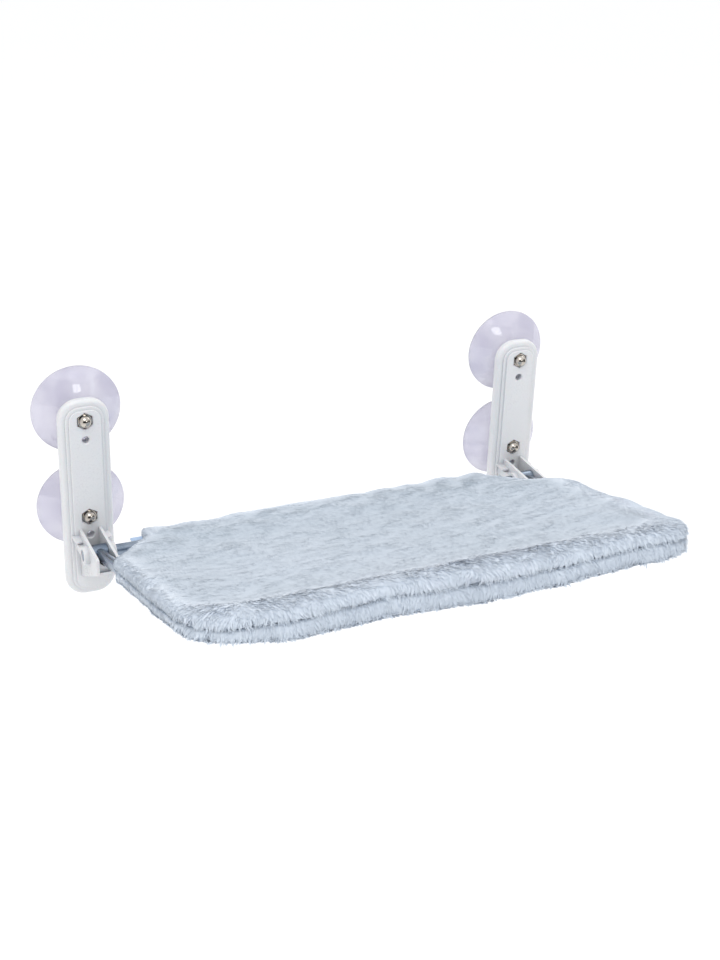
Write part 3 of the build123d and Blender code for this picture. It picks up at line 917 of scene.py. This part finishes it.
    def slackened(self, mesh: Mesh) -> Mesh:
        """The panel with its hammock's sag, soft lumps and an uneven rim."""
        sag = self.sag if self.side > 0 else 0.4 * self.sag
        for vertex in mesh.vertices:
            place = vertex.co
            if place.z < 2 * MM:
                continue
            crown = self.crown_share(place)
            wave = noise.noise(place * WAVE + Vector((self.seed, 0, 0)))
            ripple = noise.noise(place * RIPPLE + Vector((0, self.seed, 3)))
            x, y, z = (value * cells for value, cells in zip(place, STREAK))
            brushed = noise.noise(Vector((x, y, z + self.seed)))
            dish = step_mm(self.edge_distance(place), 25, 95) * sag
            rough = 0.9 + 1.2 * step_mm(place.y, -60, -10)
            lift = wave * 1.1 * MM * crown + (ripple * rough + brushed * 0.3) * MM
            lift += self.fullness(place)
            out = Vector((vertex.normal.x, vertex.normal.y, 0)) * (ripple * 1.6 + wave * 1.0) * MM
            vertex.co = place + out + self.pulled(place) + Vector((0, 0, lift - dish))
        return mesh

    def pulled(self, place: Vector) -> Vector:
        """How the cover is drawn out at its rear corners and to the right."""
        corner = Vector((math.copysign(self.notch_half, place.x), self.rear))
        near = smooth_step(28 * MM - (Vector((place.x, place.y)) - corner).length, 0, 22 * MM)
        share = self.corner_point * near * step_mm(place.z, 3, 9)
        swell = self.right_swell * step_mm(place.x, 150, 250)
        swell *= step_mm(-place.y, 45, 100)
        return Vector((math.copysign(0.75 * share, place.x) + swell, 0.66 * share, 0))

    def fullness(self, place: Vector) -> float:
        """How much further the panel stands out where its pile is deepest."""
        share = smooth_step(place.z, 3 * MM, self.height * 0.6)
        if self.side > 0:
            return share * self.rear_swell * step_mm(place.y, -150, -20)
        share = share * self.front_droop * self.front_share(place)
        return share * step_mm(place.x, -230, -150)

    def mirrored(self, mesh: Mesh) -> Mesh:
        """The panel on its own side of the tubes, faces outwards."""
        if self.side > 0:
            return mesh
        mesh.transform(Matrix.Scale(-1, 4, Vector((0, 0, 1))))
        mesh.flip_normals()
        return mesh

    def drawn_in(self, place: Vector) -> Vector:
        """How far the slanting edge next to a bracket is drawn in between its ends."""
        along = (self.rear - place.y) / (self.rear + self.notch_out)
        share = smooth_step(along, 0.04, 0.32) * (1 - smooth_step(along, 0.85, 1.2))
        share *= 1 - step_mm(self.notch_distance(place), 4, 30)
        return Vector((math.copysign(0.8, -place.x), -0.6, 0)) * share * self.notch_dip

    def wandering(self, mesh: Mesh) -> Mesh:
        """The panel with its slants drawn in and a seam that wanders alike on both panels."""
        for vertex in mesh.vertices:
            place = vertex.co.copy()
            vertex.co += self.drawn_in(place)
            share = 1 - step_mm(self.edge_distance(place), 8, 34)
            if place.y > -40 * MM or share <= 0:
                continue
            wave = noise.noise(Vector((place.x * SEAM_WAVE, place.y * SEAM_WAVE, 5)))
            wave += 0.5 * noise.noise(Vector((place.x * SEAM_RIPPLE, place.y * SEAM_RIPPLE, 9)))
            vertex.co.z += share * wave * self.seam_wander
        return mesh

    def outward(self, place: Vector) -> Vector:
        """The level direction from a place to the nearest edge."""
        step = 1.0 * MM
        here = self.edge_distance(place)
        slope_x = here - self.edge_distance(place + Vector((step, 0, 0)))
        slope_y = here - self.edge_distance(place + Vector((0, step, 0)))
        way = Vector((slope_x, slope_y, 0))
        return way.normalized() if way.length > 0 else Vector((0, -1, 0))

    def comb_at(self, place: Vector, normal: Vector) -> tuple[Vector, float, float]:
        """Which way the pile lies, how long it is and how pale.

        Args:
            place: a point of the panel, in the platform's level frame.
            normal: its normal there.

        Returns:
            (direction of the fibres, length as a share of a tuft's, tone).
        """
        shift, lay = Vector((self.seed * 3.1, 0, 0)), self.lay
        level_share = abs(normal.z)
        crown = self.crown_share(place) * smooth_step(level_share, 0.7, 0.95)
        front = self.front_share(place)
        notch = 1 - step_mm(self.notch_distance(place), 6, 26)
        rear = max(step_mm(place.y, -60, -5), notch)
        swirl = noise.noise_vector(place * SWIRL + shift)
        clump = noise.noise_vector(place * CLUMP + shift)
        brushed = Vector((0.5 + 1.1 * swirl.x, -1.0 + 1.1 * swirl.y, 0)).normalized()
        drop = Vector((0, -0.5 * (1 - front), level_share - 1))
        falling = self.outward(place) * (0.2 + level_share) + drop
        way = (falling + clump * (0.45 + 0.35 * front)).normalized().lerp(brushed, crown)
        tangent = (way - normal * way.dot(normal)).normalized()
        lift = (lay.lift + lay.front_lift * front - lay.rear_lift * rear) * (1 + 0.9 * clump.z)
        lift = lift * (1 - crown) ** 2 + lay.crown_lift * crown
        way = (tangent + normal * lift).normalized()
        uneven = noise.noise(place * UNEVEN + shift * 2)
        near_seam = 1 - step_mm(place.z * self.side, 2, 7)
        rim_long = 0.78 + 0.26 * front - 0.3 * rear + 0.28 * uneven - 0.15 * near_seam
        long = rim_long * (1 - crown) + (0.8 + 0.2 * uneven) * crown
        mottle = noise.noise(place * BROAD + shift) * 0.22
        mottle += noise.noise(place * SPECKLE - shift) * 0.08
        mottle -= lay.rear_shade * crown * step_mm(place.y, -190, -20)
        # Painted light: steeper faces get paler fibres, making up for the less light that reaches
        # them.
        steep = 1 - smooth_step(level_share, 0.55, 0.97)
        # Painted shade: the lower panel's front roll, facing down, gets darker fibres.
        under = 0.0 if self.side > 0 else -lay.under_shade * front
        # Painted light: the crest between flat and rim gets paler fibres, lifting the shadow
        # between them.
        crest = 4 * crown * (1 - crown)
        # Painted light: the rim's fibres, and most the clumps that stand highest, are paler against
        # the shade of their own locks.
        rim_tone = (1 - crown) * (lay.rim_tone + lay.clump_tone * clump.z)
        tone = lay.tone + lay.mottled * mottle + rim_tone
        tone = tone + lay.steep_painted_light * steep + lay.crest_painted_light * crest + under
        return way, long, tone

    def zone_shares(self, place: Vector, normal: Vector) -> dict[Zone, float]:
        """How much of each zone's pile grows at a place of the panel."""
        shares = dict.fromkeys(Zone, 0.0)
        inside = self.edge_distance(place) > self.skin + 4 * MM
        if abs(place.z) < self.seam_gap and (inside or place.y > -8 * MM):
            return shares
        flat = smooth_step(abs(normal.z), 0.55, 0.9)
        crown = self.crown_share(place) * flat
        shares[Zone.CROWN_LEFT if place.x < 0 else Zone.CROWN_RIGHT] = min(1.0, 1.3 * crown)
        if place.y < -(self.front - self.corner * 0.7):
            rim = Zone.RIM_FRONT
        else:
            rim = Zone.RIM_LEFT if place.x < 0 else Zone.RIM_RIGHT
        shares[rim] = 1 - smooth_step(crown, 0.35, 0.9)
        return shares

    def combed(self, mesh: Mesh) -> dict[Zone, list[float]]:
        """Writes the comb, length and tone of the pile on a panel.

        Args:
            mesh: the panel in the platform's level frame.

        Returns:
            For each zone, each vertex's share of the pile's density.
        """
        turn = platform_place().to_3x3()
        ways, piles, tones = zip(*(self.comb_at(v.co, v.normal) for v in mesh.vertices))
        zones = [self.zone_shares(v.co, v.normal) for v in mesh.vertices]
        write_values(mesh, "comb", [turn @ way for way in ways])
        write_values(mesh, "pile", list(piles))
        write_values(mesh, "tone", list(tones))
        return {zone: [shares[zone] for shares in zones] for zone in Zone}

    def build(self, crown: ScatterTree, rim: ScatterTree, pile_finish: Material) -> None:
        """Makes the backing and its pile and sets them on the platform.

        Args:
            crown: the scatter of the flat's short pile.
            rim: the scatter of the edge's longer locks.
            pile_finish: the material of the fibres.
        """
        mesh = self.mirrored(self.slackened(self.puffed(self.remeshed(self.blank()))))
        # The seam mask places the backing's painted shade in the groove between the panels.
        write_values(mesh, "seam", [smooth_step(abs(v.co.z), 0.0, 2.0 * MM) for v in mesh.vertices])
        # The rim mask places the backing's painted light under the rim's pile.
        write_values(mesh, "rim", [1 - self.crown_share(v.co) for v in mesh.vertices])
        densities = self.combed(mesh)
        self.wandering(mesh).transform(platform_place())
        for number, zone in enumerate(Zone):
            write_values(mesh, "density", densities[zone])
            on_rim = zone.name.startswith("RIM")
            spacing = self.rim_spacing if on_rim else self.crown_spacing
            if self.side < 0:
                spacing *= 1.2
            scatter = rim if on_rim else crown
            grown = scatter.grow(mesh.copy(), spacing, self.seed * 10 + number)
            pile = new_piece(f"{self.name}_pile_{zone.value}", grown, pile_finish)
            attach(pile, "platform")
            log.info("%s: %d faces", pile.name, len(grown.polygons))
        for name in ("comb", "pile", "tone", "density"):
            mesh.attributes.remove(mesh.attributes[name])
        backing = new_piece(self.name, self.subdivided(mesh), FinishShelf.get(Finish.PLUSH))
        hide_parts(self.stands_for)
        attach(backing, "platform")
        log.info("%s: %d faces", backing.name, len(backing.data.polygons))


@dataclass
class ZipCoil:
    """The nylon coil's teeth along the cover's rear edge."""

    half_length: float = 200 * MM
    middle_y: float = 17.5 * MM
    end_size: tuple[float, float, float] = (15 * MM, 11 * MM, 2.6 * MM)
    end_place: tuple[float, float, float] = (-196 * MM, 14.5 * MM, 2.2 * MM)
    end_tilt: float = math.radians(18)
    pitch: float = 1.35 * MM
    tooth: tuple[float, float, float] = (0.95 * MM, 3.5 * MM, 2.3 * MM)

    def build(self) -> None:
        """Makes one rounded tooth and repeats it down the tape."""
        shape = rounded_block(self.tooth, self.tooth[0] * 0.3, 1)
        count = int(2 * self.half_length / self.pitch)
        first = Vector((-(count - 1) / 2 * self.pitch, self.middle_y, 0))
        bmesh.ops.translate(shape, vec=first, verts=shape.verts)
        row = {"use_relative_offset": False, "use_constant_offset": True, "count": count}
        row["constant_offset_displace"] = (self.pitch, 0, 0)
        mesh = modified(mesh_from(shape, "tooth"), "ARRAY", **row)
        mesh.transform(platform_place())
        teeth = new_piece("zip_coil_teeth", mesh, FinishShelf.get(Finish.COIL))
        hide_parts("zip_chain")
        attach(teeth, "platform")
        log.info("zip_coil_teeth: %d teeth", count)
        self.folded_end()

    def folded_end(self) -> None:
        """Makes the tape's end, folded over itself beside the left rear corner."""
        shape = rounded_block(self.end_size, self.end_size[2] * 0.42, 3)
        turn = Matrix.Translation(Vector(self.end_place)) @ Matrix.Rotation(self.end_tilt, 4, "X")
        mesh = mesh_from(shape, "zip_tape_end")
        mesh.transform(platform_place() @ turn)
        end = new_piece("zip_tape_end", mesh, FinishShelf.get(Finish.TAPE))
        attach(end, "platform")
        log.info("zip_tape_end: %d faces", len(mesh.polygons))


class Frame:
    """The parts of the frame that keep their own shape."""

    finishes = {
        Finish.WHITE_PLASTIC: ("left_bracket", "right_bracket"),
        Finish.CLEAR_VINYL: (
            "left_upper_cup", "left_lower_cup", "right_upper_cup", "right_lower_cup",
        ),
        Finish.BRIGHT_NICKEL: (
            "left_acorn_nuts", "right_acorn_nuts", "axle_screws", "arm_screws",
            "left_cup_studs", "right_cup_studs",
        ),
        Finish.ZINC_STEEL: ("cross_tube", "bent_frame", "left_knuckle", "right_knuckle"),
        Finish.GREY_PLASTIC: ("tube_end_plugs",),
        Finish.TAPE: ("zip_tape",),
        Finish.PALE_METAL: ("zip_slider", "zip_pull"),
    }

    def build(self) -> None:
        """Dresses every node that is shown as packed."""
        for finish, names in self.finishes.items():
            for name in names:
                dress_node(name, finish)


class Cover:
    """The plush cover: two panels, their pile and the zip's teeth."""

    def build(self) -> None:
        """Builds both panels and the zip."""
        crown, rim = ScatterTree(CROWN_TUFTS, 0.02), ScatterTree(RIM_TUFTS, 0.1)
        pile = PileFibre().make()
        PlushPanel("plush_top", 1, 3, "cover_top").build(crown, rim, pile)
        PlushPanel("plush_bottom", -1, 8, "cover_bottom").build(crown, rim, pile)
        crown.clear()
        rim.clear()
        ZipCoil().build()


# The studio


@dataclass(frozen=True)
class Studio:
    """Floor, soft light and the photograph's camera."""

    camera_place: tuple[float, float, float] = (-0.5764, -1.3781, 0.6477)
    yaw: float = 25.14
    pitch: float = 25.52
    roll: float = 1.95
    focal_pixels: float = 1537.0
    picture_height: float = 960.0
    sensor: float = 36.0
    floor_drop: float = -0.75
    floor_size: float = 40.0

    def camera(self) -> None:
        """Sets the camera at the photograph's place."""
        yaw, pitch, roll = (math.radians(a) for a in (self.yaw, self.pitch, self.roll))
        level = math.cos(pitch)
        ahead = Vector((math.sin(yaw) * level, math.cos(yaw) * level, -math.sin(pitch)))
        right = Vector((math.cos(yaw), -math.sin(yaw), 0))
        up = right.cross(ahead)
        across = right * math.cos(roll) + up * math.sin(roll)
        upward = up * math.cos(roll) - right * math.sin(roll)
        lens = bpy.data.cameras.new("camera")
        lens.sensor_width = self.sensor
        lens.lens = self.sensor * self.focal_pixels / self.picture_height
        lens.clip_start, lens.clip_end = 0.01, 100.0
        camera = linked("camera", lens)
        turn = Matrix((across, upward, -ahead)).transposed().to_4x4()
        camera.matrix_world = Matrix.Translation(Vector(self.camera_place)) @ turn
        bpy.context.scene.camera = camera

    def floor(self) -> None:
        """Lays the pale floor."""
        shape = bmesh.new()
        bmesh.ops.create_grid(shape, x_segments=4, y_segments=4, size=self.floor_size / 2)
        bmesh.ops.translate(shape, vec=Vector((0, 0, self.floor_drop)), verts=shape.verts)
        mesh = mesh_from(shape, "floor", smooth=False)
        mesh.materials.append(PaleFloor().make())
        floor = linked("floor", mesh)

    def softbox(
        self, name: str, place: Vector, aim: Vector, size: tuple[float, float], power: float
    ) -> None:
        """Hangs one rectangular soft light.

        Args:
            name: the light's name.
            place: where it hangs.
            aim: the point that it faces.
            size: its width and height in metres.
            power: its power in watts.
        """
        lamp = bpy.data.lights.new(name, "AREA")
        lamp.shape = "RECTANGLE"
        lamp.size, lamp.size_y = size
        lamp.energy = power
        turn = (aim - place).to_track_quat("-Z", "Y").to_matrix().to_4x4()
        linked(name, lamp).matrix_world = Matrix.Translation(place) @ turn

    def dark_card(
        self, name: str, place: Vector, aim: Vector, size: tuple[float, float]
    ) -> None:
        """Stands one dark card that only mirrors see, for contrast in the metal."""
        shape = bmesh.new()
        bmesh.ops.create_grid(shape, x_segments=1, y_segments=1, size=0.5)
        bmesh.ops.scale(shape, vec=Vector((size[0], size[1], 1)), verts=shape.verts)
        turn = (aim - place).to_track_quat("Z", "Y").to_matrix().to_4x4()
        bmesh.ops.transform(shape, matrix=Matrix.Translation(place) @ turn, verts=shape.verts)
        mesh = mesh_from(shape, name, smooth=False)
        sketch = Sketch(name)
        sketch.set(Base_Color=(0.02, 0.02, 0.022), Roughness=0.9)
        mesh.materials.append(sketch.material)
        card = linked(name, mesh)
        for kind in ("camera", "diffuse", "shadow", "transmission"):
            setattr(card, f"visible_{kind}", False)

    def air(self) -> None:
        """The even white light of the room."""
        world = bpy.data.worlds.new("room")
        world.use_nodes = True
        sky = world.node_tree.nodes["Background"]
        sky.inputs["Color"].default_value = (0.985, 0.99, 1.0, 1.0)
        sky.inputs["Strength"].default_value = 1.03
        bpy.context.scene.world = world
        bpy.context.scene.view_settings.view_transform = "Standard"

    def build(self) -> None:
        """Sets up the whole studio."""
        self.camera()
        self.floor()
        self.air()
        middle = Vector((0, -0.15, -0.03))
        self.softbox("key", Vector((-0.8, -1.0, 2.3)), middle, (1.8, 1.4), 20)
        self.softbox("rim", Vector((1.8, 0.9, 1.5)), middle, (1.2, 1.2), 8)
        self.softbox("window", Vector((0.3, -2.4, 1.05)), middle, (0.6, 0.4), 4)
        self.dark_card("dark_card_back", Vector((-0.6, -3.4, 0.8)), middle, (6.5, 2.4))
        self.dark_card("dark_card_right", Vector((2.2, -1.3, 0.2)), middle, (1.8, 2.0))


def main() -> None:
    """Builds the pieces in order, then the studio."""
    logging.basicConfig(level=logging.INFO, format="%(message)s")
    Frame().build()
    Cover().build()
    Studio().build()


if __name__ == "__main__":
    main()
